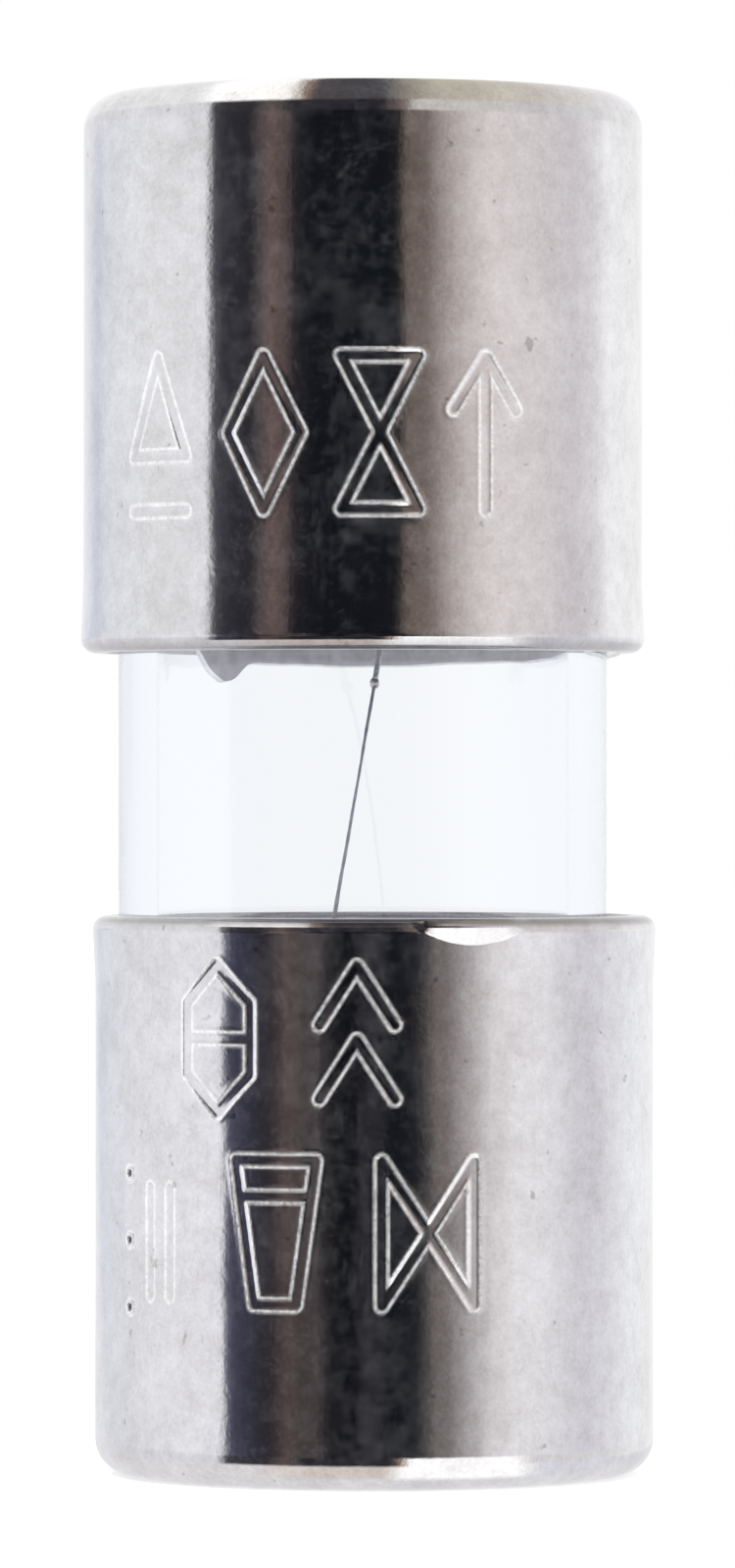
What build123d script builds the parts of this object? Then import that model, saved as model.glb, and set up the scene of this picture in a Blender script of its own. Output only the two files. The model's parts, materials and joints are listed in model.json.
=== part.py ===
from build123d import *
import os
from math import cos, radians, sin

# A small glass cartridge fuse, standing upright. All lengths are in millimetres.
# +Z runs along the fuse, the front is towards -Y, and the origin is at the centre of its base.

# Whole fuse
OVERALL_LENGTH = 15.66
CAP_OFFSET = 0.065  # each cap's axis lies this far from the middle, because the caps went on askew

# End caps: drawn metal cups, pushed over the tube with their open ends facing each other
CAP_RADIUS = 3.175
CAP_WALL = 0.25
CAP_LENGTH = 6.34
CAP_CORNER_RADIUS = 0.40
CAP_INNER_CORNER_RADIUS = 0.15
LIP_RADIUS = 3.205  # the open end flares out very slightly
LIP_LENGTH = 0.75
LIP_ROUNDING = 0.16

# Glass tube
TUBE_RADIUS = 2.775
TUBE_BORE_RADIUS = 2.34
TUBE_END_GAP = 0.75  # from the outside of a cap's end to the end of the glass
TUBE_EDGE_ROUNDING = 0.12  # fire-polished ends

# Solder inside each cap's end
SOLDER_PLUG_REACH = 0.50  # how far the solder stands inside the glass
SOLDER_DISH_DEPTH = 0.30

# Cement between the glass and each cap's wall
CEMENT_LENGTH = 4.20
CEMENT_RIM_GAP = 0.12
BLOB_RADIUS = 0.36  # cement that was squeezed out below the upper cap
BLOB_AZIMUTH = 223.5  # degrees round from the front, + to the right
BLOB_RISE = 0.03  # its centre's height above the rim

# Fuse element and its leads, all on one straight line that crosses the tube
LEAD_RADIUS = 0.038
ELEMENT_RADIUS = 0.020
WIRE_MIDDLE_X = -0.125
WIRE_MIDDLE_Z = OVERALL_LENGTH / 2
WIRE_LEAN_X = 0.172  # sideways travel for each millimetre of height
WIRE_LEAN_Y = 0.255  # front-to-back travel for each millimetre of height
UPPER_JOINT_Z = 8.98
LOWER_JOINT_Z = 5.95
UPPER_BEAD_RADIUS = 0.055
LOWER_BEAD_RADIUS = 0.055
LEAD_END_GAP = 0.40  # from the outside of a cap's end to the end of a lead


def cap_cup():
    """One plain cap, its closed end at z = 0 and its open end upwards."""
    length = CAP_LENGTH
    bore = CAP_RADIUS - CAP_WALL
    corner = CAP_CORNER_RADIUS
    inner_corner = CAP_INNER_CORNER_RADIUS
    with BuildPart() as cup:
        with BuildSketch(Plane.XZ):
            with BuildLine():
                Line((0, 0), (CAP_RADIUS - corner, 0))
                RadiusArc((CAP_RADIUS - corner, 0), (CAP_RADIUS, corner), -corner)
                Line((CAP_RADIUS, corner), (CAP_RADIUS, length - LIP_LENGTH))
                Line((CAP_RADIUS, length - LIP_LENGTH), (LIP_RADIUS, length - LIP_ROUNDING))
                RadiusArc(
                    (LIP_RADIUS, length - LIP_ROUNDING), (LIP_RADIUS - LIP_ROUNDING, length), -LIP_ROUNDING
                )
                Line((LIP_RADIUS - LIP_ROUNDING, length), (bore, length))
                Line((bore, length), (bore, CAP_WALL + inner_corner))
                RadiusArc((bore, CAP_WALL + inner_corner), (bore - inner_corner, CAP_WALL), inner_corner)
                Line((bore - inner_corner, CAP_WALL), (0, CAP_WALL))
                Line((0, CAP_WALL), (0, 0))
            make_face()
        revolve(axis=Axis.Z)
    return cup.part


def round_direction(azimuth):
    """The unit vector that points out of the fuse at an angle from its front, + to the right."""
    return Vector(sin(radians(azimuth)), -cos(radians(azimuth)), 0)


def make_upper_cap():
    cup = Rot(180, 0, 0) * cap_cup()
    return Pos(-CAP_OFFSET, 0, OVERALL_LENGTH) * cup


def make_lower_cap():
    return Pos(CAP_OFFSET, 0, 0) * cap_cup()


def make_glass_tube():
    """The clear tube: it lines up with the upper cap."""
    length = OVERALL_LENGTH - 2 * TUBE_END_GAP
    base = (Align.CENTER, Align.CENTER, Align.MIN)
    tube = Cylinder(TUBE_RADIUS, length, align=base) - Cylinder(TUBE_BORE_RADIUS, length, align=base)
    tube = fillet(tube.edges().filter_by(GeomType.CIRCLE), TUBE_EDGE_ROUNDING)
    return Pos(-CAP_OFFSET, 0, TUBE_END_GAP) * tube


def wire_point(height):
    """Where the line of the wire is at a height."""
    rise = height - WIRE_MIDDLE_Z
    return Vector(WIRE_MIDDLE_X + WIRE_LEAN_X * rise, WIRE_LEAN_Y * rise, height)


def round_wire(low, high, radius):
    """A straight round wire along the wire's line, between two heights."""
    start = wire_point(low)
    run = wire_point(high) - start
    along = Plane(origin=start, z_dir=run)
    return along * Cylinder(radius, run.length, align=(Align.CENTER, Align.CENTER, Align.MIN))


def joint_bead(height, radius, wires):
    """The tiny solder bead that joins the fuse element to a lead."""
    bead = Pos(wire_point(height)) * Sphere(radius)
    for wire in wires:
        bead -= wire
    return bead


def end_solder(base, upwards, cap_x, taken):
    """Solder that fills a cap's end and stands a little way up inside the glass, with a dished face."""
    bore = CAP_RADIUS - CAP_WALL
    start = (Align.CENTER, Align.CENTER, Align.MIN)
    disc = Cylinder(bore, TUBE_END_GAP - CAP_WALL, align=start)
    disc = Pos(cap_x, 0, CAP_WALL) * disc
    plug_height = TUBE_END_GAP - CAP_WALL + SOLDER_PLUG_REACH
    plug = Pos(-CAP_OFFSET, 0, CAP_WALL) * Cylinder(TUBE_BORE_RADIUS, plug_height, align=start)
    dish_radius = (TUBE_BORE_RADIUS**2 + SOLDER_DISH_DEPTH**2) / (2 * SOLDER_DISH_DEPTH)
    dish_height = CAP_WALL + plug_height - SOLDER_DISH_DEPTH + dish_radius
    dish = Pos(-CAP_OFFSET, 0, dish_height) * Sphere(dish_radius)
    solder = disc + plug - dish
    if not upwards:
        solder = Pos(0, 0, base) * mirror(solder, Plane.XY)
    for piece in taken:
        solder -= piece
    return solder


def tube_space():
    """Everything inside the outside wall of the glass, which the cement stays out of."""
    return Pos(-CAP_OFFSET, 0, OVERALL_LENGTH / 2) * Cylinder(TUBE_RADIUS, OVERALL_LENGTH)


def cement_ring(cap_x, low):
    """Cement that fills the gap between the glass and a cap's wall."""
    base = (Align.CENTER, Align.CENTER, Align.MIN)
    ring = Cylinder(CAP_RADIUS - CAP_WALL, CEMENT_LENGTH, align=base)
    return Pos(cap_x, 0, low) * ring - tube_space()


def make_upper_cement(cap):
    """The upper ring, with the blob that was squeezed out under the cap's rim at the back."""
    rim = OVERALL_LENGTH - CAP_LENGTH
    out = (TUBE_RADIUS + CAP_RADIUS - CAP_WALL) / 2
    blob_centre = Vector(-CAP_OFFSET, 0, rim + BLOB_RISE) + round_direction(BLOB_AZIMUTH) * out
    blob = Pos(blob_centre) * Sphere(BLOB_RADIUS) - cap - tube_space()
    return cement_ring(-CAP_OFFSET, rim + CEMENT_RIM_GAP) + blob


def make_lower_cement():
    return cement_ring(CAP_OFFSET, CAP_LENGTH - CEMENT_RIM_GAP - CEMENT_LENGTH)


def make_parts():
    upper_cap = make_upper_cap()
    lower_cap = make_lower_cap()
    tube = make_glass_tube()
    upper_lead = round_wire(UPPER_JOINT_Z, OVERALL_LENGTH - LEAD_END_GAP, LEAD_RADIUS)
    lower_lead = round_wire(LEAD_END_GAP, LOWER_JOINT_Z, LEAD_RADIUS)
    element = round_wire(LOWER_JOINT_Z, UPPER_JOINT_Z, ELEMENT_RADIUS)
    return {
        "glass_tube": tube,
        "upper_cap": upper_cap,
        "lower_cap": lower_cap,
        "fuse_element": element,
        "upper_lead_wire": upper_lead,
        "lower_lead_wire": lower_lead,
        "upper_joint_bead": joint_bead(UPPER_JOINT_Z, UPPER_BEAD_RADIUS, [upper_lead, element]),
        "lower_joint_bead": joint_bead(LOWER_JOINT_Z, LOWER_BEAD_RADIUS, [lower_lead, element]),
        "upper_solder": end_solder(
            OVERALL_LENGTH, False, -CAP_OFFSET, [upper_cap, tube, upper_lead]
        ),
        "lower_solder": end_solder(0, True, CAP_OFFSET, [lower_cap, tube, lower_lead]),
        "upper_cement": make_upper_cement(upper_cap),
        "lower_cement": make_lower_cement(),
    }


os.makedirs("parts", exist_ok=True)
for node, shape in make_parts().items():
    export_step(shape, f"parts/{node}.step")
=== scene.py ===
import json
import math

import bmesh
import bpy
import numpy as np
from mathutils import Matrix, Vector


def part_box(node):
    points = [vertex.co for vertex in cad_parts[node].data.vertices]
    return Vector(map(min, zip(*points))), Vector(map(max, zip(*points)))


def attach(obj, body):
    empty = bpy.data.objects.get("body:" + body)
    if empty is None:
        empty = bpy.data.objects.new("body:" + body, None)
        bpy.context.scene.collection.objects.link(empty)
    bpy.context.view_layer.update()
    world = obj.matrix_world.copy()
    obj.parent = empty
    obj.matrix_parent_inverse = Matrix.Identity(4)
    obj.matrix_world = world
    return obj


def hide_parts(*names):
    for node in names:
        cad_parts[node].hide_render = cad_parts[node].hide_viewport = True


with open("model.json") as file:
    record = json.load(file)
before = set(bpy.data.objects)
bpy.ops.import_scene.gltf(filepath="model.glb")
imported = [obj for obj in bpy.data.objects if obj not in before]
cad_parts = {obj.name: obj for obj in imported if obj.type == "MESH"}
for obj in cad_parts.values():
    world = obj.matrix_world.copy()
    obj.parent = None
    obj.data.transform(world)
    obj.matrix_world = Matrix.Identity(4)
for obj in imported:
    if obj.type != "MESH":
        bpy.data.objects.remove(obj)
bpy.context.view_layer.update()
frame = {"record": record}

# The looks of a small glass cartridge fuse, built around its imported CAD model.
# Everything is in metres in the CAD frame: +Z along the fuse, the front towards -Y, the base at z = 0.
MM = 0.001
MICRON = 0.001 * MM

# ---------------------------------------------------------------- sizes read from the frame
mounts = {mount["name"]: mount for mount in frame["record"]["mounts"]}
upper_low, upper_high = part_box("upper_cap")
lower_low, lower_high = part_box("lower_cap")
tube_low, tube_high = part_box("glass_tube")
FUSE_TOP = upper_high[2]
CAP_LENGTH = lower_high[2] - lower_low[2]
CAP_RADIUS = mounts["lower_contact"]["dims"]["r_mm"] * MM
LIP_RADIUS = (lower_high[0] - lower_low[0]) / 2
UPPER_X = (upper_low[0] + upper_high[0]) / 2
LOWER_X = (lower_low[0] + lower_high[0]) / 2
TUBE_RADIUS = (tube_high[0] - tube_low[0]) / 2
TUBE_X = (tube_low[0] + tube_high[0]) / 2
UPPER_RIM = FUSE_TOP - CAP_LENGTH
LOWER_RIM = CAP_LENGTH

# ---------------------------------------------------------------- sizes of the caps and the tube
CAP_WALL = 0.25 * MM
CAP_CORNER = 0.40 * MM
CAP_INNER_CORNER = 0.15 * MM
LIP_LENGTH = 0.75 * MM
LIP_ROUNDING = 0.16 * MM
DRAW_WAVE = 0.0009 * MM  # how uneven the drawn wall is
# Each wave in the drawn wall: its share, how often it goes round, and its twist in radians per metre
DRAW_WAVES = ((0.9, 5, 900), (0.7, 9, -1700), (0.5, 17, 2600))
BORE_RADIUS = 2.34 * MM
TUBE_ROUNDING = 0.12 * MM

# One stretch of the lower cap's lip is bent outwards a little, with a tighter rounding at its rim.
BENT_DEGREES = 20.0
BENT_HALF_WIDTH = 12.0  # degrees
BENT_LENGTH = 0.20 * MM  # how far down the bend reaches below its rounding, at its middle
BENT_SLOPE = 0.17
BENT_ROUNDING = 0.09 * MM

# ---------------------------------------------------------------- the figures stamped into the caps
STROKE_HALF_WIDTH = 0.056 * MM
STROKE_SLOPE_WIDTH = 0.034 * MM  # how wide the slope is at each side of a stroke's flat bottom
STROKE_DEPTH = 0.008 * MM
RAISED_EDGE = 0.002 * MM  # metal pushed up beside each stroke
RAISED_EDGE_WIDTH = 0.022 * MM
WORN_EDGE_WIDTH = 0.017 * MM  # the scuffed line along each side of a stroke
DOT_RADIUS = 0.095 * MM
DOT_DEPTH = 0.050 * MM
DOT_RAISED_EDGE = 3 * RAISED_EDGE
DOT_RAISED_RADIUS = 1.2 * DOT_RADIUS

# Each figure is a list of strokes, each a run of points in a cell one unit wide and one unit tall.
FIGURES = {
    "peak_and_bar": [
        [(-0.5, -0.14), (0.0, 0.5), (0.5, -0.14), (-0.5, -0.14)],
        [(-0.5, -0.5), (0.5, -0.5)],
    ],
    "diamond": [[(0.0, -0.5), (0.5, 0.0), (0.0, 0.5), (-0.5, 0.0), (0.0, -0.5)]],
    "hourglass": [[(-0.5, 0.5), (0.5, 0.5), (-0.5, -0.5), (0.5, -0.5), (-0.5, 0.5)]],
    "arrow": [[(0.0, -0.5), (0.0, 0.5)], [(-0.45, 0.15), (0.0, 0.5), (0.45, 0.15)]],
    "hexagon": [
        [(0.0, 0.5), (0.5, 0.24), (0.5, -0.24), (0.0, -0.5), (-0.5, -0.24), (-0.5, 0.24), (0.0, 0.5)],
        [(-0.5, 0.0), (0.5, 0.0)],
    ],
    "chevrons": [
        [(-0.5, 0.1), (0.0, 0.5), (0.5, 0.1)],
        [(-0.5, -0.4), (0.0, 0.0), (0.5, -0.4)],
    ],
    "bars": [[(-0.5, -0.5), (-0.5, 0.5)], [(0.5, -0.5), (0.5, 0.5)]],
    "bucket": [
        [(-0.5, 0.5), (0.5, 0.5), (0.26, -0.5), (-0.26, -0.5), (-0.5, 0.5)],
        [(-0.44, 0.25), (0.44, 0.25)],
    ],
    "bow_tie": [[(-0.5, 0.5), (-0.5, -0.5), (0.5, 0.5), (0.5, -0.5), (-0.5, 0.5)]],
}
# Figure, degrees round from the front (+ is to the right), height of its middle, width and height in mm
UPPER_MARKS = [
    ("peak_and_bar", -46.0, 11.72, 0.86, 1.70),
    ("diamond", -20.3, 11.72, 0.86, 1.70),
    ("hourglass", 3.5, 11.72, 0.86, 1.70),
    ("arrow", 25.5, 11.72, 0.86, 1.70),
]
LOWER_MARKS = [
    ("hexagon", -33.4, 5.00, 0.84, 1.64),
    ("chevrons", -3.5, 5.00, 0.84, 1.64),
    ("bars", -49.0, 2.72, 0.34, 1.20),
    ("bucket", -20.4, 2.86, 0.95, 1.60),
    ("bow_tie", 10.9, 2.86, 1.05, 1.60),
]
DOT_DEGREES = -59.3
DOT_HEIGHTS = [1.97 * MM, 2.72 * MM, 3.47 * MM]
# The heights between which each cap's wall has rows fine enough for its figures
UPPER_FIGURES = (10.74 * MM, 12.70 * MM)
LOWER_FIGURES = (1.80 * MM, 5.92 * MM)

# ---------------------------------------------------------------- the wire, on one straight slanted line
WIRE_MIDDLE_X = -0.125 * MM
WIRE_LEAN_X = 0.172
WIRE_LEAN_Y = 0.255
LEAD_RADIUS = 0.038 * MM
ELEMENT_RADIUS = 0.020 * MM
# How thick each wire is at evenly spaced heights, from its low end to its high end, as shares of its radius
ELEMENT_SHARES = (1.3, 1.2, 1.0, 0.85, 0.85, 0.9, 1.0)
UPPER_LEAD_SHARES = (0.8, 1.0, 1.0, 1.0)
LOWER_LEAD_SHARES = (1.0, 1.0, 1.0, 0.7)
ELEMENT_WOBBLE = 0.12
LEAD_WOBBLE = 0.08
BEAD_STRETCH = 1.2

# ---------------------------------------------------------------- solder and cement
SOLDER_DISH = 0.30 * MM
SOLDER_EDGE = 0.02 * MM
SOLDER_RIPPLE = 0.02 * MM
SOLDER_GAP = 0.01 * MM  # between the solder and the glass
CEMENT_LENGTH = 4.20 * MM
CEMENT_RIM_GAP = 0.12 * MM
CEMENT_GAP = 0.002 * MM  # between the cement and the glass or the cap
# Points across the cement's exposed edge: a place from the glass (0) to the cap (1), and how far out the
# edge is there, in mm
CEMENT_EDGE = ((0.0, 0.02), (0.35, 0.008), (0.7, 0.02), (0.9, 0.028), (1.0, 0.04))
# Each wave in that edge: its height in mm, how often it goes round, and where it starts in radians
CEMENT_WAVES = ((0.012, 3, 1), (0.008, 7, 2), (0.004, 19, 0))
# What is pushed out under the upper rim: a line at the back, which stops at the drop, and the drop
BACK_LINE_REACH = 0.20  # mm
BACK_LINE_STOP, BACK_LINE_FADE = 50, 8  # degrees from straight behind
DROP_REACH = 0.22  # mm
DROP_HALF_WIDTH = 0.15  # radians
DROP_DEGREES = 223.5

# ---------------------------------------------------------------- how finely the round pieces are divided
FINE_STEP = 0.38  # degrees, where the figures are
COARSE_STEP = 2.0
UPPER_FINE = (-56.0, 36.0)
LOWER_FINE = (-64.0, 24.0)
FINE_ROW = 0.024 * MM
TUBE_SEGMENTS = 256
CEMENT_SEGMENTS = 256
SOLDER_SEGMENTS = 96
WIRE_STEPS = 90
WIRE_SIDES = 20


# ================================================================ mesh helpers
def arc(centre, radius, start_degrees, end_degrees, steps):
    """Points (r, z) of a round corner in a section, both ends included."""
    turns = np.radians(np.linspace(start_degrees, end_degrees, steps + 1))
    return [(centre[0] + radius * math.cos(t), centre[1] + radius * math.sin(t)) for t in turns]


def straight(start, end, steps):
    """Points (r, z) of a straight stretch of a section, without its two ends."""
    shares = np.linspace(0, 1, steps + 1)[1:-1]
    return [(start[0] + (end[0] - start[0]) * s, start[1] + (end[1] - start[1]) * s) for s in shares]


def new_piece(name, points, faces, material):
    """A smooth-shaded mesh piece whose faces all point outwards."""
    mesh = bpy.data.meshes.new(name)
    mesh.from_pydata(points, [], faces)
    work = bmesh.new()
    work.from_mesh(mesh)
    bmesh.ops.recalc_face_normals(work, faces=work.faces)
    work.to_mesh(mesh)
    work.free()
    mesh.shade_smooth()
    piece = bpy.data.objects.new(name, mesh)
    bpy.context.scene.collection.objects.link(piece)
    piece.data.materials.append(material)
    return piece


def grid_faces(rows, columns, close_rows):
    """Quads of a grid that wraps round, and whose last row also joins the first if close_rows is true."""
    faces = []
    for row in range(rows if close_rows else rows - 1):
        here, there = row * columns, ((row + 1) % rows) * columns
        for column in range(columns):
            nearby = (column + 1) % columns
            faces.append((here + column, here + nearby, there + nearby, there + column))
    return faces


def lathe(name, section, material, centre_x, angles, reshape=None):
    """Turns a section of (r, z) points round an upright axis.

    A section that starts or ends on the axis gets a single point there.
    """
    section = np.array(section)
    poles = [section[0][0] == 0, section[-1][0] == 0]
    body = section[1 if poles[0] else 0 : len(section) - (1 if poles[1] else 0)]
    radius = np.repeat(body[:, :1], len(angles), axis=1)
    height = np.repeat(body[:, 1:], len(angles), axis=1)
    turn = np.repeat(np.array(angles)[None, :], len(body), axis=0)
    if reshape:
        radius, height = reshape(radius, height, turn)
    points = np.stack([centre_x + radius * np.sin(turn), -radius * np.cos(turn), height], axis=-1)
    points = [tuple(point) for point in points.reshape(-1, 3)]
    faces = grid_faces(len(body), len(angles), not any(poles))
    for pole, row, end in zip(poles, (0, len(body) - 1), (section[0], section[-1])):
        if pole:
            points.append((centre_x, 0.0, float(end[1])))
            ring = [row * len(angles) + column for column in range(len(angles))]
            faces += [(a, b, len(points) - 1) for a, b in zip(ring, ring[1:] + ring[:1])]
    return new_piece(name, points, faces, material)


def even_angles(count):
    return np.linspace(-math.pi, math.pi, count, endpoint=False)


def cap_angles(fine_range):
    """Angles round a cap, closer together at the front, where the figures are."""
    fine = np.arange(fine_range[0], fine_range[1], FINE_STEP)
    coarse = np.arange(fine_range[1], fine_range[0] + 360, COARSE_STEP)
    return np.radians(np.concatenate([fine, coarse]))


# ================================================================ the caps
def wall_radius(height):
    """The outside of a cap's wall: straight, then flaring slightly towards the open end."""
    lip_start = CAP_LENGTH - LIP_LENGTH
    lip_end = CAP_LENGTH - LIP_ROUNDING
    return np.interp(height, [lip_start, lip_end], [CAP_RADIUS, LIP_RADIUS])


def cap_section(fine_low, fine_high):
    """A cap's section from its closed end at z = 0, up the wall, over the rim and down the inside."""
    bore = CAP_RADIUS - CAP_WALL
    flat = CAP_RADIUS - CAP_CORNER
    rim_centre = (LIP_RADIUS - LIP_ROUNDING, CAP_LENGTH - LIP_ROUNDING)
    inner_centre = (bore - CAP_INNER_CORNER, CAP_WALL + CAP_INNER_CORNER)
    section = [(0, 0)] + straight((0, 0), (flat, 0), 12)
    section += arc((flat, CAP_CORNER), CAP_CORNER, -90, 0, 14)
    below = np.linspace(CAP_CORNER, fine_low, 14)[1:-1]
    figures = np.linspace(fine_low, fine_high, round((fine_high - fine_low) / FINE_ROW))
    above = np.linspace(fine_high, rim_centre[1], 18)[1:-1]
    section += [(wall_radius(height), height) for height in [*below, *figures, *above]]
    section += arc(rim_centre, LIP_ROUNDING, 0, 90, 10)
    section += [(bore, CAP_LENGTH)] + straight((bore, CAP_LENGTH), (bore, inner_centre[1]), 12)
    section += arc(inner_centre, CAP_INNER_CORNER, 0, -90, 5)
    section += straight((inner_centre[0], CAP_WALL), (0, CAP_WALL), 8) + [(0, CAP_WALL)]
    return section


def stroke_distance(across, up, figure, width, height):
    """How far each point of a cap's wall is from the middle of the nearest stroke of a figure."""
    nearest = np.full(across.shape, np.inf)
    for run in FIGURES[figure]:
        corners = [np.array([x * width, y * height]) for x, y in run]
        for start, end in zip(corners, corners[1:]):
            along = end - start
            share = ((across - start[0]) * along[0] + (up - start[1]) * along[1]) / (along @ along)
            share = np.clip(share, 0, 1)
            away = np.hypot(across - start[0] - share * along[0], up - start[1] - share * along[1])
            nearest = np.minimum(nearest, away)
    return nearest


def stroke_profile(distance):
    """Radial shift at a distance from a stroke's middle: a flat-bottomed groove with a low raised edge."""
    share = np.clip((distance - STROKE_HALF_WIDTH) / STROKE_SLOPE_WIDTH + 0.5, 0, 1)
    groove = -STROKE_DEPTH * (1 - share * share * (3 - 2 * share))
    outside = distance - STROKE_HALF_WIDTH - STROKE_SLOPE_WIDTH
    return groove + RAISED_EDGE * np.exp(-((outside / RAISED_EDGE_WIDTH) ** 2))


def turn_from(turn, degrees):
    """The angle from a direction, between -pi and pi."""
    return (turn - math.radians(degrees) + math.pi) % (2 * math.pi) - math.pi


def mark_distance(height, turn, mark):
    """How far each point of a cap's wall is from the nearest stroke of a mark."""
    figure, degrees, middle, width, tall = mark
    across = turn_from(turn, degrees) * CAP_RADIUS
    return stroke_distance(across, height - middle * MM, figure, width * MM, tall * MM)


def dot_distance(height, turn, dot_height):
    across = turn_from(turn, DOT_DEGREES) * CAP_RADIUS
    return np.hypot(across, height - dot_height)


def stamped(radius, height, turn, marks, dots):
    """The wall's radii with the figures and dots sunk into it."""
    wall = radius > CAP_RADIUS - 10 * MICRON
    for mark in marks:
        radius = radius + np.where(wall, stroke_profile(mark_distance(height, turn, mark)), 0)
    for dot_height in dots:
        distance = dot_distance(height, turn, dot_height)
        bowl = np.clip(1 - (distance / DOT_RADIUS) ** 2, 0, 1)
        past_edge = (distance - DOT_RAISED_RADIUS) / RAISED_EDGE_WIDTH
        edge = DOT_RAISED_EDGE * np.exp(-(past_edge**2))
        radius = radius + np.where(wall, edge - DOT_DEPTH * bowl, 0)
    return radius


def note_worn_edges(piece, centre_x, marks, dots):
    """Stores on a cap's points how scuffed they are: only the edges of the strokes and dots are."""
    count = len(piece.data.vertices)
    points = np.empty(count * 3)
    piece.data.vertices.foreach_get("co", points)
    x, y, height = points.reshape(-1, 3).T
    turn = np.arctan2(x - centre_x, -y)
    outside = np.hypot(x - centre_x, y) > CAP_RADIUS - CAP_WALL / 2
    edge = STROKE_HALF_WIDTH + STROKE_SLOPE_WIDTH / 2
    away = [np.abs(mark_distance(height, turn, mark) - edge) for mark in marks]
    away += [np.abs(dot_distance(height, turn, dot_height) - DOT_RADIUS) for dot_height in dots]
    worn = np.exp(-((np.min(away, axis=0) / WORN_EDGE_WIDTH) ** 2)) * outside
    layer = piece.data.attributes.new("worn_edge", "FLOAT", "POINT")
    layer.data.foreach_set("value", worn.astype(np.float32))


def drawn_waviness(radius, height, turn, phase):
    """Very slight unevenness of a cup drawn from sheet: up to about two microns."""
    outside = radius > CAP_RADIUS - CAP_CORNER
    wave = 0
    for number, (share, around, twist) in enumerate(DRAW_WAVES, 1):
        wave = wave + share * np.sin(around * turn + twist * height + number * phase)
    return radius + np.where(outside, DRAW_WAVE * wave, 0)


def make_upper_cap(material):
    """The cup turned over: its section starts at the closed end, which is at the fuse's top."""
    low, high = (FUSE_TOP - height for height in reversed(UPPER_FIGURES))

    def reshape(radius, height, turn):
        height = FUSE_TOP - height
        radius = drawn_waviness(radius, height, turn, 0.7)
        return stamped(radius, height, turn, UPPER_MARKS, []), height

    section = cap_section(low, high)
    piece = lathe("upper_cap_shell", section, material, UPPER_X, cap_angles(UPPER_FINE), reshape)
    for vertex in piece.data.vertices[-2:]:
        vertex.co.z = FUSE_TOP - vertex.co.z
    note_worn_edges(piece, UPPER_X, UPPER_MARKS, [])
    return piece


def bent_lip(radius, height, turn):
    """The lower cap's radii with the bent stretch of its lip."""
    sideways = turn_from(turn, BENT_DEGREES) / math.radians(BENT_HALF_WIDTH)
    share = np.clip(1 - sideways**2, 0, 1)
    reach = BENT_LENGTH * share
    bend_end = CAP_LENGTH - BENT_ROUNDING
    flare = BENT_SLOPE * np.clip(height - bend_end + reach, 0, reach)
    past = np.clip(height - bend_end, 0, BENT_ROUNDING)
    rounding = BENT_ROUNDING - np.sqrt(BENT_ROUNDING**2 - past**2)
    bent = wall_radius(height) + flare - rounding
    outside = (radius > CAP_RADIUS - LIP_ROUNDING) & (height > bend_end - reach)
    return radius + np.where(outside, np.clip(3 * share, 0, 1) * (bent - radius), 0)


def make_lower_cap(material):
    def reshape(radius, height, turn):
        radius = drawn_waviness(bent_lip(radius, height, turn), height, turn, 2.1)
        return stamped(radius, height, turn, LOWER_MARKS, DOT_HEIGHTS), height

    section = cap_section(*LOWER_FIGURES)
    piece = lathe("lower_cap_shell", section, material, LOWER_X, cap_angles(LOWER_FINE), reshape)
    note_worn_edges(piece, LOWER_X, LOWER_MARKS, DOT_HEIGHTS)
    return piece


# ================================================================ the glass
def make_glass_tube(material):
    low, high = tube_low[2], tube_high[2]
    inner, outer, bend = BORE_RADIUS, TUBE_RADIUS, TUBE_ROUNDING
    section = arc((outer - bend, low + bend), bend, -90, 0, 5)
    section += straight((outer, low + bend), (outer, high - bend), 24)
    section += arc((outer - bend, high - bend), bend, 0, 90, 5)
    section += arc((inner + bend, high - bend), bend, 90, 180, 5)
    section += straight((inner, high - bend), (inner, low + bend), 24)
    section += arc((inner + bend, low + bend), bend, 180, 270, 5)
    return lathe("glass_tube_clear", section, material, TUBE_X, even_angles(TUBE_SEGMENTS))


# ================================================================ the wire
def wire_point(height):
    rise = height - FUSE_TOP / 2
    return np.array([WIRE_MIDDLE_X + WIRE_LEAN_X * rise, WIRE_LEAN_Y * rise, height])


def make_wire(name, low, high, radii, material, wobble):
    """A round wire along the wire's line. Its radii are at evenly spaced heights."""
    steps, sides = WIRE_STEPS, WIRE_SIDES
    along = wire_point(high) - wire_point(low)
    along /= np.linalg.norm(along)
    sideways = np.cross(along, (0, 1, 0))
    sideways /= np.linalg.norm(sideways)
    forwards = np.cross(along, sideways)
    points, faces = [], grid_faces(steps + 1, sides, False)
    for step in range(steps + 1):
        share = step / steps
        radius = np.interp(share, np.linspace(0, 1, len(radii)), radii)
        radius *= 1 + wobble * math.sin(31 * share + 1.3) * math.sin(47 * share)
        bend = wobble * 0.5 * radius * (math.sin(9 * share) + math.sin(23 * share + 2))
        middle = wire_point(low + (high - low) * share) + sideways * bend
        for side in range(sides):
            turn = 2 * math.pi * side / sides
            points.append(tuple(middle + radius * (sideways * math.cos(turn) + forwards * math.sin(turn))))
    last = steps * sides
    faces.append(tuple(range(sides)))
    faces.append(tuple(last + side for side in range(sides)))
    return new_piece(name, points, faces, material)


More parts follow.
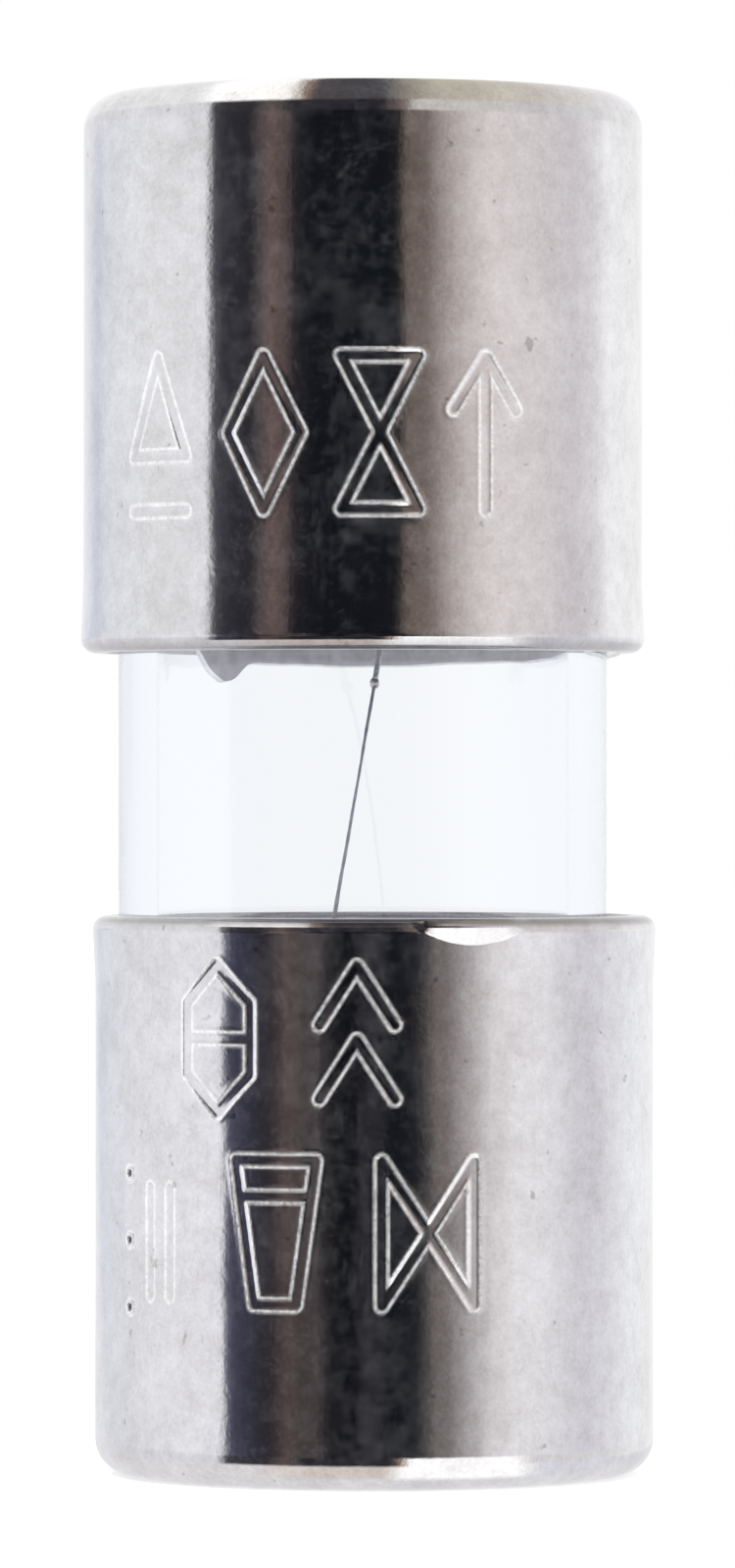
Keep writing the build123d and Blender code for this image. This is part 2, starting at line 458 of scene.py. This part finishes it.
def make_bead(name, node, material, stretch):
    """A small drop of solder where two wires meet."""
    low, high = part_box(node)
    centre = [(a + b) / 2 for a, b in zip(low, high)]
    size = (high[0] - low[0]) / 2
    bead = bmesh.new()
    bmesh.ops.create_icosphere(bead, subdivisions=4, radius=size)
    for vertex in bead.verts:
        x, y, z = vertex.co
        lump = 1 + 0.08 * math.sin(4 * x / size + 1) * math.cos(3 * z / size)
        lump += 0.05 * math.sin(5 * y / size)
        vertex.co = (centre[0] + x * lump, centre[1] + y * lump, centre[2] + z * lump * stretch)
    mesh = bpy.data.meshes.new(name)
    bead.to_mesh(mesh)
    bead.free()
    mesh.shade_smooth()
    piece = bpy.data.objects.new(name, mesh)
    bpy.context.scene.collection.objects.link(piece)
    piece.data.materials.append(material)
    return piece


# ================================================================ solder and cement
def make_solder(name, node, cap_x, upwards, material):
    """Solder in a cap's end: a disc beyond the glass, and a plug inside it with a dished face."""
    low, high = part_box(node)
    disc_radius = (high[0] - low[0]) / 2
    plug_radius = BORE_RADIUS - SOLDER_GAP
    height = high[2] - low[2]
    disc_height = tube_low[2] - lower_low[2] - CAP_WALL
    section = [(0, 0)] + straight((0, 0), (disc_radius, 0), 8)
    section += [(disc_radius, SOLDER_EDGE), (disc_radius, disc_height - SOLDER_EDGE)]
    section += straight((disc_radius, disc_height), (plug_radius, disc_height), 4)
    section += [(plug_radius, disc_height), (plug_radius, height - SOLDER_EDGE)]
    section += [(plug_radius * s, height - SOLDER_DISH * (1 - s * s)) for s in np.linspace(0.98, 0, 24)]

    def reshape(radius, level, turn):
        ripple = SOLDER_RIPPLE * np.sin(3 * turn + 1) * np.sin(radius / (0.9 * MM))
        level = level + ripple * (level > disc_height)
        shifted = low[2] + level if upwards else high[2] - level
        return radius, shifted

    piece = lathe(name, section, material, cap_x, even_angles(SOLDER_SEGMENTS), reshape)
    for vertex in piece.data.vertices[-2:]:
        vertex.co.z = low[2] + vertex.co.z if upwards else high[2] - vertex.co.z
    for vertex in piece.data.vertices:
        level = vertex.co.z - low[2] if upwards else high[2] - vertex.co.z
        if level > disc_height - MICRON:
            vertex.co.x += TUBE_X - cap_x  # the plug is in line with the glass, and the disc with the cap
    return piece


def make_cement(name, cap_x, rim, inwards, squeeze, material):
    """Cement between glass and cap. Its exposed edge is uneven, and squeeze(turns) moves it out."""
    columns = CEMENT_SEGMENTS
    turns = even_angles(columns)
    inner = TUBE_RADIUS + CEMENT_GAP
    points = []
    ragged = sum(tall * np.sin(around * turns + start) for tall, around, start in CEMENT_WAVES)
    edge = rim + inwards * (CEMENT_RIM_GAP + ragged * MM - squeeze(turns) * MM)
    outer = cap_wall_radius(turns, cap_x) - CEMENT_GAP
    for share, proud in CEMENT_EDGE:
        radius = inner + (outer - inner) * share
        height = edge - inwards * proud * MM
        points += ring_points(radius, height, turns)
    far = rim + inwards * (CEMENT_RIM_GAP + CEMENT_LENGTH)
    for share in (1.0, 0.0):
        radius = inner + (outer - inner) * share
        points += ring_points(radius, np.full(columns, far), turns)
    return new_piece(name, points, grid_faces(len(CEMENT_EDGE) + 2, columns, True), material)


def cap_wall_radius(turns, cap_x):
    """How far a cap's inner wall is from the tube's axis, in each direction."""
    offset = (cap_x - TUBE_X) * np.sin(turns)
    bore = CAP_RADIUS - CAP_WALL
    return offset + np.sqrt(bore**2 - ((cap_x - TUBE_X) * np.cos(turns)) ** 2)


def ring_points(radius, height, turns):
    """Points of one ring round the tube's axis."""
    xs = TUBE_X + radius * np.sin(turns)
    ys = -radius * np.cos(turns)
    return [(float(x), float(y), float(z)) for x, y, z in zip(xs, ys, height)]


def upper_squeeze(turns):
    """Cement pushed out under the upper rim: a thin line at the back and a drop at the back left."""
    from_behind = np.degrees(turn_from(turns, 180.0))
    until_drop = np.clip((BACK_LINE_STOP - from_behind) / BACK_LINE_FADE, 0, 1)
    back = BACK_LINE_REACH * until_drop * np.clip(-np.cos(turns + 0.1), 0, 1) ** 0.35
    drop = DROP_REACH * np.exp(-((turn_from(turns, DROP_DEGREES) / DROP_HALF_WIDTH) ** 4))
    return back + drop


def no_squeeze(turns):
    return np.zeros(turns.shape)


# ================================================================ materials
def srgb(red, green, blue):
    """A colour given in the usual 0 to 255 display values, as Blender's linear values."""
    values = [channel / 255 for channel in (red, green, blue)]
    linear = [v / 12.92 if v <= 0.04045 else ((v + 0.055) / 1.055) ** 2.4 for v in values]
    return (*linear, 1.0)


class Nodes:
    """A short way to add nodes to a material or world. An input is a value or another node's output."""

    def __init__(self, owner):
        owner.use_nodes = True
        self.tree = owner.node_tree
        self.tree.nodes.clear()

    def add(self, kind, inputs=None, **settings):
        node = self.tree.nodes.new(kind)
        for name, value in settings.items():
            setattr(node, name, value)
        for name, value in (inputs or {}).items():
            if isinstance(value, bpy.types.NodeSocket):
                self.tree.links.new(value, node.inputs[name])
            else:
                node.inputs[name].default_value = value
        return node

    def ramp(self, factor, stops, interpolation="LINEAR"):
        node = self.add("ShaderNodeValToRGB", {"Fac": factor})
        ramp = node.color_ramp
        ramp.interpolation = interpolation
        while len(ramp.elements) < len(stops):
            ramp.elements.new(0.5)
        for element, (place, colour) in zip(ramp.elements, stops):
            element.position = place
            element.color = colour
        return node.outputs["Color"]

    def noise(self, place, scale, detail=3.0, roughness=0.55):
        inputs = {"Vector": place, "Scale": scale, "Detail": detail, "Roughness": roughness}
        return self.add("ShaderNodeTexNoise", inputs).outputs["Fac"]

    def stretched(self, place, scale):
        inputs = {"Vector": place, "Scale": scale}
        return self.add("ShaderNodeMapping", inputs).outputs["Vector"]

    def between(self, value, low, high, out_low, out_high):
        inputs = {"Value": value, "From Min": low, "From Max": high, "To Min": out_low, "To Max": out_high}
        return self.add("ShaderNodeMapRange", inputs).outputs["Result"]

    def math(self, operation, first, second=0.0):
        node = self.add("ShaderNodeMath", {0: first, 1: second}, operation=operation)
        return node.outputs["Value"]

    def weighted(self, parts):
        """The sum of some outputs, each times its weight."""
        total = None
        for output, weight in parts:
            part = self.math("MULTIPLY", output, weight)
            total = part if total is None else self.math("ADD", total, part)
        return total

    def mixed(self, factor, first, second):
        """A blend of two colours. A colour mix has its sockets 6 and 7 for colours and 2 for its result."""
        node = self.add("ShaderNodeMix", data_type="RGBA")
        self.tree.links.new(factor, node.inputs["Factor"])
        for socket, value in ((node.inputs[6], first), (node.inputs[7], second)):
            if isinstance(value, bpy.types.NodeSocket):
                self.tree.links.new(value, socket)
            else:
                socket.default_value = value
        return node.outputs[2]

    def surface(self, shader):
        out = self.add("ShaderNodeOutputMaterial", {"Surface": shader})
        return out


def object_place(nodes):
    return nodes.add("ShaderNodeTexCoord").outputs["Object"]


def grey(value):
    return (value, value, value, 1.0)


# How coarse each noise in the plate is: the larger the number, the finer the noise
CLOUD_SCALE = 1100.0
FINE_CLOUD_SCALE = 4800.0
GRAIN_SCALE = 21000.0
SPECK_SCALE = 5200.0
DRAW_LINE_SCALE = (14000.0, 14000.0, 500.0)  # long in Z, along the draw
PLATE_TONES = [(0.0, (0.64, 0.625, 0.625, 1)), (0.5, (0.74, 0.73, 0.733, 1)), (1.0, (0.82, 0.82, 0.825, 1))]
SPECK_COLOUR = (0.30, 0.28, 0.27, 1.0)
# The painted shade near the rims: a dark tone mixed into the plate's colour
RIM_SHADE_COLOUR = (0.16, 0.15, 0.16, 1.0)
# How much painted shade darkens the plate near each rim, and how far from the rim the shade starts to fade
# and is gone
UPPER_RIM_SHADE = (0.5, 0.02 * MM, LIP_ROUNDING)
LOWER_RIM_SHADE = (0.6, 0.05 * MM, 0.11 * MM)


def shade_near_rim(nodes, height, rim, rim_shade_levels):
    """The share of painted shade in the plate near one rim."""
    most, near, far = rim_shade_levels
    away = nodes.math("ABSOLUTE", nodes.math("SUBTRACT", height, rim))
    return nodes.between(away, near, far, most, 0.0)


def plate_tone(nodes, place, height, texture):
    """The plate's colour: cloudy, with dark specks, and darkened by painted shade along the two rims."""
    tone = nodes.ramp(nodes.between(texture, 0.38, 0.62, 0.0, 1.0), PLATE_TONES)
    specks = nodes.noise(place, SPECK_SCALE, 2.0, 0.5)
    tone = nodes.mixed(nodes.between(specks, 0.70, 0.76, 0.0, 0.55), tone, SPECK_COLOUR)
    # Painted shade near each rim, mixed into the plate's colour
    upper = shade_near_rim(nodes, height, UPPER_RIM, UPPER_RIM_SHADE)
    lower = shade_near_rim(nodes, height, LOWER_RIM, LOWER_RIM_SHADE)
    return nodes.mixed(nodes.math("MAXIMUM", upper, lower), tone, RIM_SHADE_COLOUR)


def plate_roughness(nodes, height, patch):
    """Polished, a little rougher in patches, and satin on the two flat end faces."""
    polished = nodes.between(patch, 0.35, 0.65, 0.11, 0.055)
    to_end = nodes.math("MINIMUM", height, nodes.math("SUBTRACT", FUSE_TOP, height))
    end_face = nodes.between(to_end, 2 * MICRON, 12 * MICRON, 1.0, 0.0)
    satin = nodes.math("MULTIPLY", end_face, nodes.between(patch, 0.35, 0.65, 0.36, 0.24))
    return nodes.math("ADD", polished, satin)


def nickel_material():
    """Bright nickel plate: cloudy patches, fine grain, upright draw lines, dark specks and a faint haze.

    Painted shade darkens the plate along the rounded rims, and the plate is scuffed to a satin white along
    the edges of the figures.
    """
    material = bpy.data.materials.new("nickel_plate")
    nodes = Nodes(material)
    place = object_place(nodes)
    height = nodes.add("ShaderNodeSeparateXYZ", {"Vector": place}).outputs["Z"]
    clouds = nodes.noise(place, CLOUD_SCALE, 5.0, 0.6)
    fine_clouds = nodes.noise(place, FINE_CLOUD_SCALE, 4.0, 0.65)
    grain = nodes.noise(place, GRAIN_SCALE, 3.0, 0.7)
    lines = nodes.noise(nodes.stretched(place, DRAW_LINE_SCALE), 1.0, 3.0, 0.6)
    patch = nodes.weighted([(clouds, 0.5), (fine_clouds, 0.5)])
    texture = nodes.weighted([(patch, 0.66), (grain, 0.29), (lines, 0.05)])
    haze = nodes.between(texture, 0.47, 0.60, 0.0, 0.028)
    worn = nodes.add("ShaderNodeAttribute", attribute_name="worn_edge").outputs["Fac"]
    scuffed = nodes.math("MULTIPLY", worn, nodes.between(grain, 0.3, 0.6, 0.35, 0.8))
    relief = nodes.weighted([(lines, 0.20), (fine_clouds, 1.0), (grain, 0.16)])
    bump = nodes.add("ShaderNodeBump", {"Strength": 0.14, "Distance": 12 * MICRON, "Height": relief})
    shader = nodes.add(
        "ShaderNodeBsdfPrincipled",
        {
            "Base Color": plate_tone(nodes, place, height, texture),
            "Metallic": nodes.math("SUBTRACT", 1.0, nodes.math("MAXIMUM", haze, scuffed)),
            "Roughness": plate_roughness(nodes, height, patch),
            "Normal": bump.outputs["Normal"],
        },
    )
    nodes.surface(shader.outputs["BSDF"])
    return material


GLASS_IOR = 1.5
GLASS_LINE_SCALE = (2600.0, 2600.0, 60.0)
GLASS_TINT = (0.10, 0.42, 0.90, 1.0)
GLASS_DENSITY = 75.0  # per metre


def glass_material():
    """Clear glass, very faintly blue where it is thick."""
    material = bpy.data.materials.new("clear_glass")
    nodes = Nodes(material)
    place = object_place(nodes)
    draw_lines = nodes.noise(nodes.stretched(place, GLASS_LINE_SCALE), 1.0, 2.0, 0.5)
    bump = nodes.add("ShaderNodeBump", {"Strength": 0.05, "Distance": 4 * MICRON, "Height": draw_lines})
    shader = nodes.add(
        "ShaderNodeBsdfPrincipled",
        {
            "Base Color": (1.0, 1.0, 1.0, 1.0),
            "Roughness": 0.0,
            "IOR": GLASS_IOR,
            "Transmission Weight": 1.0,
            "Normal": bump.outputs["Normal"],
        },
    )
    volume = nodes.add("ShaderNodeVolumeAbsorption", {"Color": GLASS_TINT, "Density": GLASS_DENSITY})
    out = nodes.surface(shader.outputs["BSDF"])
    nodes.tree.links.new(volume.outputs["Volume"], out.inputs["Volume"])
    return material


# Dark and bright tone, roughness, scale of the unevenness, and how metallic the oxide leaves it
METALS = {
    "fuse_wire": (srgb(132, 132, 142), srgb(180, 180, 188), 0.3, 9000.0, 0.9),
    "lead_wire": (srgb(196, 196, 204), srgb(246, 246, 250), 0.25, 9000.0, 0.6),
    "solder": (srgb(184, 184, 188), srgb(226, 226, 230), 0.25, 2500.0, 0.8),
}


def metal_material(name):
    """A dull metal with uneven tone, for wire and solder."""
    dark, bright, roughness, scale, metallic = METALS[name]
    material = bpy.data.materials.new(name)
    nodes = Nodes(material)
    place = object_place(nodes)
    patch = nodes.noise(place, scale, 4.0, 0.6)
    colour = nodes.ramp(nodes.between(patch, 0.35, 0.65, 0.0, 1.0), [(0.0, dark), (1.0, bright)])
    bump = nodes.add("ShaderNodeBump", {"Strength": 0.3, "Distance": 4 * MICRON, "Height": patch})
    shader = nodes.add(
        "ShaderNodeBsdfPrincipled",
        {
            "Base Color": colour,
            "Metallic": metallic,
            "Roughness": nodes.between(patch, 0.3, 0.7, roughness, roughness * 1.6),
            "Normal": bump.outputs["Normal"],
        },
    )
    nodes.surface(shader.outputs["BSDF"])
    return material


CEMENT_TONES = [(0.0, srgb(196, 194, 198)), (1.0, srgb(232, 231, 236))]
CEMENT_SCALE = 4200.0
CEMENT_PAINTED_LIGHT = 0.22  # painted light: an even emission standing in for the light that reaches the cement through the glass and through itself


def cement_material():
    """Pale grey cement with a fine grain, which glows evenly as painted light."""
    material = bpy.data.materials.new("cement")
    nodes = Nodes(material)
    place = object_place(nodes)
    patch = nodes.noise(place, CEMENT_SCALE, 5.0, 0.6)
    colour = nodes.ramp(nodes.between(patch, 0.3, 0.7, 0.0, 1.0), CEMENT_TONES)
    bump = nodes.add("ShaderNodeBump", {"Strength": 0.4, "Distance": 10 * MICRON, "Height": patch})
    shader = nodes.add(
        "ShaderNodeBsdfPrincipled",
        {
            "Base Color": colour,
            "Roughness": 0.35,
            # Painted light: the cement glows with its own colour, though it is no lamp
            "Emission Color": colour,
            "Emission Strength": CEMENT_PAINTED_LIGHT,
            "Normal": bump.outputs["Normal"],
        },
    )
    nodes.surface(shader.outputs["BSDF"])
    return material


FLOOR_SCALE = 60.0
FLOOR_GLOW = 0.45


def floor_material():
    """Plain white paper with a very faint mottle."""
    material = bpy.data.materials.new("white_floor")
    nodes = Nodes(material)
    place = object_place(nodes)
    mottle = nodes.noise(place, FLOOR_SCALE, 3.0, 0.5)
    colour = nodes.ramp(mottle, [(0.0, grey(0.93)), (1.0, grey(0.96))])
    shader = nodes.add(
        "ShaderNodeBsdfPrincipled",
        {
            "Base Color": colour,
            "Roughness": 0.9,
            "Specular IOR Level": 0.0,
            "Emission Color": grey(1.0),
            "Emission Strength": FLOOR_GLOW,
        },
    )
    nodes.surface(shader.outputs["BSDF"])
    return material


# ================================================================ studio
# What the caps mirror: degrees round from the front (+ is to the right) and a display colour, in which
# more than 255 is brighter than white. Level with a cap it is a white tent with a dark gap in front, a
# brown strip inside the gap and a fade at the gap's right side. The upper cap mirrors what is just above
# eye level, and the lower cap what is just below it.
ABOVE_EYE_LEVEL = [
    (-180, (255, 255, 255)),
    (-154, (238, 241, 251)),
    (-142, (222, 226, 238)),
    (-132, (242, 245, 253)),
    (-110, (250, 252, 255)),
    (-66.5, (247, 247, 251)),
    (-64.5, (86, 86, 92)),
    (-60, (54, 55, 62)),
    (-47, (42, 42, 48)),
    (-43, (84, 78, 80)),
    (-38, (112, 96, 94)),
    (-32, (96, 82, 82)),
    (-28, (34, 34, 40)),
    (-20, (16, 19, 26)),
    (9, (14, 18, 25)),
    (15, (26, 27, 31)),
    (18, (116, 104, 98)),
    (26, (124, 112, 106)),
    (31, (162, 150, 148)),
    (42, (210, 201, 199)),
    (54, (240, 233, 232)),
    (78, (236, 230, 231)),
    (97, (226, 221, 225)),
    (110, (240, 238, 242)),
    (122, (266, 267, 269)),
    (180, (255, 255, 255)),
]
BELOW_EYE_LEVEL = [
    (-180, (255, 255, 255)),
    (-154, (230, 234, 244)),
    (-142, (240, 243, 251)),
    (-112, (250, 251, 255)),
    (-84, (256, 256, 260)),
    (-65.4, (254, 254, 260)),
    (-63, (86, 86, 106)),
    (-58, (68, 68, 88)),
    (-46, (50, 48, 56)),
    (-42, (56, 51, 54)),
    (-36, (92, 80, 79)),
    (-31, (78, 71, 70)),
    (-24, (80, 74, 76)),
    (-19, (36, 36, 40)),
    (-12, (16, 18, 24)),
    (-8, (14, 16, 22)),
    (-2, (50, 50, 56)),
    (3, (46, 46, 52)),
    (7, (18, 22, 28)),
    (17, (28, 30, 37)),
    (21, (70, 68, 69)),
    (25, (120, 114, 113)),
    (30, (130, 123, 122)),
    (39, (186, 181, 182)),
    (49, (236, 232, 233)),
    (60, (254, 252, 256)),
    (72, (252, 250, 254)),
    (91, (234, 232, 239)),
    (100, (232, 231, 238)),
    (115, (246, 246, 251)),
    (128, (258, 260, 264)),
    (180, (255, 255, 255)),
]
# Between eye level and overhead or underfoot, a white window stands at the right of the gap.
WINDOWS_ABOVE = [
    (-180, (244, 245, 250)),
    (-67, (242, 242, 247)),
    (-64, (62, 62, 68)),
    (-46, (50, 49, 54)),
    (-38, (100, 88, 86)),
    (-28, (44, 44, 50)),
    (8, (38, 38, 46)),
    (17, (120, 104, 98)),
    (23, (216, 211, 207)),
    (56, (222, 218, 215)),
    (68, (222, 218, 219)),
    (112, (234, 232, 236)),
    (125, (255, 255, 255)),
    (180, (255, 255, 255)),
]
WINDOWS_BELOW = [
    (-180, (244, 245, 250)),
    (-67, (242, 242, 247)),
    (-64, (62, 62, 68)),
    (-46, (50, 49, 54)),
    (-38, (100, 88, 86)),
    (-28, (44, 44, 50)),
    (8, (38, 38, 46)),
    (11, (150, 122, 104)),
    (16, (292, 292, 292)),
    (60, (292, 292, 292)),
    (71, (234, 232, 236)),
    (112, (238, 238, 242)),
    (125, (255, 255, 255)),
    (180, (255, 255, 255)),
]
OVERHEAD = [
    (-180, (255, 255, 255)),
    (-76, (256, 256, 256)),
    (-66, (292, 292, 292)),
    (-32, (292, 290, 284)),
    (-24, (150, 126, 112)),
    (-19, (80, 76, 80)),
    (8, (74, 72, 78)),
    (18, (148, 142, 132)),
    (33, (198, 191, 176)),
    (60, (218, 212, 198)),
    (90, (230, 226, 220)),
    (123, (250, 248, 250)),
    (180, (250, 250, 252)),
]
UNDERFOOT = [
    (-180, (240, 240, 244)),
    (-60, (246, 244, 247)),
    (-30, (236, 226, 220)),
    (4, (226, 216, 208)),
    (14, (292, 292, 292)),
    (62, (292, 292, 292)),
    (75, (236, 236, 244)),
    (180, (240, 240, 244)),
]
BEHIND_UNDERFOOT = (240, 239, 241)
# How far a mirror's face must be tilted, as a sine, to show one level turning into the next
EYE_LEVEL_BLEND = 0.006
WINDOW_FROM, WINDOW_FULL = 0.09, 0.13
OVERHEAD_FROM, OVERHEAD_FULL = 0.36, 0.43
UNDERFOOT_FROM, UNDERFOOT_FULL = 0.29, 0.36
BEHIND_FROM, BEHIND_FULL = 0.62, 0.74
TENT_STRENGTH = 1.4


def tent_colour(colour):
    """A colour of the tent, scaled so that the tent's strength brings it back."""
    return [channel / TENT_STRENGTH for channel in srgb(*colour)[:3]] + [1.0]


def tent_ramp(nodes, share, zones):
    stops = [((degrees + 180) / 360, tent_colour(colour)) for degrees, colour in zones]
    return nodes.ramp(share, stops)


def make_world():
    """White for what is seen directly or through glass, and the tent for what the metal mirrors.

    Each direction of the tent is placed by the mirror that would show it to someone in front: which way
    that mirror faces, left to right, and how far it is tilted. So the tent's upright edges stay upright in
    the rounded ends of a cap, and its level edges stay level.
    """
    world = bpy.data.worlds.new("tent")
    bpy.context.scene.world = world
    nodes = Nodes(world)
    direction = nodes.add("ShaderNodeTexCoord").outputs["Generated"]
    parts = nodes.add("ShaderNodeSeparateXYZ", {"Vector": direction}).outputs
    forwards = nodes.math("SUBTRACT", 1.0, parts["Y"])
    facing = nodes.math("ARCTAN2", parts["X"], forwards)
    share = nodes.math("ADD", nodes.math("DIVIDE", facing, math.pi), 0.5)
    length = nodes.math("SQRT", nodes.math("MULTIPLY", forwards, 2.0))
    tilt = nodes.math("DIVIDE", parts["Z"], nodes.math("MAXIMUM", length, 0.01))
    steepness = nodes.math("ABSOLUTE", tilt)
    is_above = nodes.between(tilt, -EYE_LEVEL_BLEND, EYE_LEVEL_BLEND, 0.0, 1.0)
    level = nodes.mixed(
        is_above, tent_ramp(nodes, share, BELOW_EYE_LEVEL), tent_ramp(nodes, share, ABOVE_EYE_LEVEL)
    )
    windows = nodes.mixed(
        is_above, tent_ramp(nodes, share, WINDOWS_BELOW), tent_ramp(nodes, share, WINDOWS_ABOVE)
    )
    tent = nodes.mixed(nodes.between(steepness, WINDOW_FROM, WINDOW_FULL, 0.0, 1.0), level, windows)
    overhead = nodes.between(tilt, OVERHEAD_FROM, OVERHEAD_FULL, 0.0, 1.0)
    tent = nodes.mixed(overhead, tent, tent_ramp(nodes, share, OVERHEAD))
    underfoot = nodes.between(tilt, -UNDERFOOT_FROM, -UNDERFOOT_FULL, 0.0, 1.0)
    tent = nodes.mixed(underfoot, tent, tent_ramp(nodes, share, UNDERFOOT))
    behind = nodes.between(tilt, -BEHIND_FROM, -BEHIND_FULL, 0.0, 1.0)
    tent = nodes.mixed(behind, tent, tent_colour(BEHIND_UNDERFOOT))
    path = nodes.add("ShaderNodeLightPath").outputs
    outside = nodes.math("LESS_THAN", path["Transmission Depth"], 0.5)
    sees_tent = nodes.math("MULTIPLY", path["Is Glossy Ray"], outside)
    mirrored = nodes.add("ShaderNodeBackground", {"Color": tent, "Strength": TENT_STRENGTH})
    plain = nodes.add("ShaderNodeBackground", {"Color": grey(1.0), "Strength": 1.0})
    mix = nodes.add(
        "ShaderNodeMixShader",
        {0: sees_tent, 1: plain.outputs["Background"], 2: mirrored.outputs["Background"]},
    )
    nodes.add("ShaderNodeOutputWorld", {"Surface": mix.outputs["Shader"]})


FLOOR_RADIUS = 0.6
FLOOR_DROP = 4 * MICRON  # keeps the floor clear of the fuse's base


def make_floor():
    floor = bmesh.new()
    bmesh.ops.create_circle(floor, cap_ends=True, segments=96, radius=FLOOR_RADIUS)
    mesh = bpy.data.meshes.new("studio_floor")
    floor.to_mesh(mesh)
    floor.free()
    piece = bpy.data.objects.new("studio_floor", mesh)
    bpy.context.scene.collection.objects.link(piece)
    piece.data.materials.append(floor_material())
    piece.location.z = -FLOOR_DROP
    piece.visible_glossy = False
    piece.visible_transmission = False


SOFTBOX_PLACE = Vector((-0.08, -0.12, 0.20))
SOFTBOX_TARGET = Vector((0.0, 0.0, 0.008))
SOFTBOX_SIZE = 0.12
SOFTBOX_WATTS = 0.25


def make_softbox():
    """A soft light from the upper left. The metal doesn't mirror it."""
    light = bpy.data.lights.new("top_softbox", "AREA")
    light.shape = "DISK"
    light.size = SOFTBOX_SIZE
    light.energy = SOFTBOX_WATTS
    lamp = bpy.data.objects.new("top_softbox", light)
    lamp.location = SOFTBOX_PLACE
    lamp.rotation_mode = "QUATERNION"
    lamp.rotation_quaternion = (SOFTBOX_TARGET - SOFTBOX_PLACE).to_track_quat("-Z", "Y")
    lamp.visible_glossy = False
    lamp.visible_transmission = False
    bpy.context.scene.collection.objects.link(lamp)


CAMERA_DISTANCE = 0.110
CLIP_START, CLIP_END = 0.001, 10.0
VIEW_HEIGHT = 17.84 * MM  # how much of the fuse's axis the picture's long side covers
SENSOR = 36.0
CAMERA_X = -0.009 * MM


def make_camera():
    camera = bpy.data.cameras.new("photo_camera")
    camera.sensor_width = SENSOR
    camera.lens = SENSOR * CAMERA_DISTANCE / VIEW_HEIGHT
    camera.clip_start = CLIP_START
    camera.clip_end = CLIP_END
    piece = bpy.data.objects.new("photo_camera", camera)
    piece.location = (CAMERA_X, -CAMERA_DISTANCE, FUSE_TOP / 2)
    piece.rotation_euler = (math.radians(90), 0, 0)
    bpy.context.scene.collection.objects.link(piece)
    bpy.context.scene.camera = piece


# ================================================================ assembly
def put(piece, node):
    """Places one piece in the frame, in the stead of its CAD node."""
    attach(piece, "root")
    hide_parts(node)


def middle_height(node):
    low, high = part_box(node)
    return (low[2] + high[2]) / 2


def build_caps_and_glass():
    nickel = nickel_material()
    put(make_upper_cap(nickel), "upper_cap")
    put(make_lower_cap(nickel), "lower_cap")
    put(make_glass_tube(glass_material()), "glass_tube")


def build_wire():
    """The element between its two joints, and a lead from each joint into its cap."""
    upper_joint = middle_height("upper_joint_bead")
    lower_joint = middle_height("lower_joint_bead")
    lead_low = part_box("lower_lead_wire")[0][2] + LEAD_RADIUS
    lead_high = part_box("upper_lead_wire")[1][2] - LEAD_RADIUS
    thin = [ELEMENT_RADIUS * share for share in ELEMENT_SHARES]
    upper_thick = [LEAD_RADIUS * share for share in UPPER_LEAD_SHARES]
    lower_thick = [LEAD_RADIUS * share for share in LOWER_LEAD_SHARES]
    element_metal = metal_material("fuse_wire")
    lead_metal = metal_material("lead_wire")
    element = make_wire("fuse_element_wire", lower_joint, upper_joint, thin, element_metal, ELEMENT_WOBBLE)
    put(element, "fuse_element")
    upper = make_wire("upper_lead", upper_joint, lead_high, upper_thick, lead_metal, LEAD_WOBBLE)
    put(upper, "upper_lead_wire")
    lower = make_wire("lower_lead", lead_low, lower_joint, lower_thick, lead_metal, LEAD_WOBBLE)
    put(lower, "lower_lead_wire")


def build_solder_and_cement():
    solder = metal_material("solder")
    cement = cement_material()
    for end in ("upper", "lower"):
        bead = make_bead(f"{end}_bead", f"{end}_joint_bead", solder, BEAD_STRETCH)
        put(bead, f"{end}_joint_bead")
    for end, cap_x, upwards in (("upper", UPPER_X, False), ("lower", LOWER_X, True)):
        fill = make_solder(f"{end}_solder_fill", f"{end}_solder", cap_x, upwards, solder)
        put(fill, f"{end}_solder")
    upper = make_cement("upper_cement_ring", UPPER_X, UPPER_RIM, 1, upper_squeeze, cement)
    put(upper, "upper_cement")
    lower = make_cement("lower_cement_ring", LOWER_X, LOWER_RIM, -1, no_squeeze, cement)
    put(lower, "lower_cement")


build_caps_and_glass()
build_wire()
build_solder_and_cement()
make_floor()
make_world()
make_camera()
make_softbox()
bpy.context.scene.view_settings.view_transform = "Standard"
